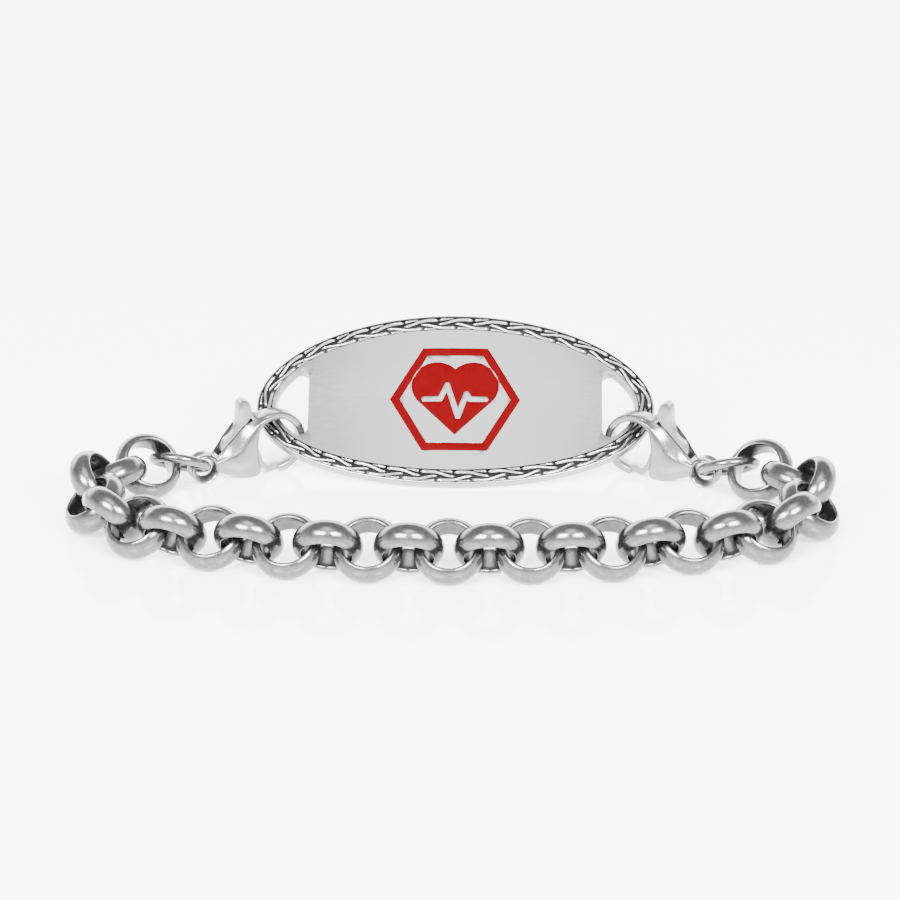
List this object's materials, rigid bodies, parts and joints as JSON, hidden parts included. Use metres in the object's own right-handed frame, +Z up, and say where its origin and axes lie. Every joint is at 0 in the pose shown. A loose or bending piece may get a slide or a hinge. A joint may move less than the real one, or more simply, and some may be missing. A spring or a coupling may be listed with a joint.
{
  "type": "medical alert bracelet",
  "caption": "Steel medical alert bracelet lying as a loop: curved oval plate with braided border and red enamel emblem, two lever clasps, jump rings and an interlocked belcher chain.",
  "frame": {"origin": "centre of the loop's outline on the table it lies on", "axes": "+X along the plate toward the viewer's right, +Y from the chain's front toward the plate at the back, +Z up"},
  "size_m": [0.084, 0.043, 0.0154],
  "materials": {
    "plate_steel": "satin stainless steel with a fine grain along the plate",
    "braid_steel": "bright braid strands over blackened grooves",
    "chain_steel": "polished stainless steel",
    "clasp_steel": "polished stainless steel with a faint grain on the flat walls",
    "enamel_red": "glossy red enamel"
  },
  "bodies": {
    "root": {"id_plate": "plate_steel", "plate_border": "braid_steel", "emblem_frame": "enamel_red", "emblem_field": "enamel_red", "link_01": "chain_steel", "link_02": "chain_steel", "link_03": "chain_steel", "link_04": "chain_steel", "link_05": "chain_steel", "link_06": "chain_steel", "link_07": "chain_steel", "link_08": "chain_steel", "link_09": "chain_steel", "link_10": "chain_steel", "link_11": "chain_steel", "link_12": "chain_steel", "link_13": "chain_steel", "link_14": "chain_steel", "link_15": "chain_steel", "link_16": "chain_steel", "link_17": "chain_steel", "link_18": "chain_steel", "link_19": "chain_steel", "link_20": "chain_steel", "link_21": "chain_steel", "link_22": "chain_steel", "link_23": "chain_steel", "link_24": "chain_steel", "link_25": "chain_steel", "link_26": "chain_steel", "link_27": "chain_steel", "jump_ring_left": "chain_steel", "jump_ring_right": "chain_steel", "clasp_body_left": "clasp_steel", "clasp_body_right": "clasp_steel"},
    "lever_left": {"clasp_lever_left": "clasp_steel"},
    "lever_right": {"clasp_lever_right": "clasp_steel"}
  },
  "joints": [
    {"name": "lever_left_hinge", "type": "hinge", "parent": "root", "child": "lever_left", "pos_m": [-0.02386, 0.0103, 0.00175], "axis": [0.4226, -0.9063, 0], "range_deg": [0, 12], "stiffness_Nm_per_rad": 0.004, "springref_deg": -8.59},
    {"name": "lever_right_hinge", "type": "hinge", "parent": "root", "child": "lever_right", "pos_m": [0.02386, 0.0103, 0.00175], "axis": [0.4226, 0.9063, 0], "range_deg": [0, 12], "stiffness_Nm_per_rad": 0.004, "springref_deg": -8.59}
  ]
}
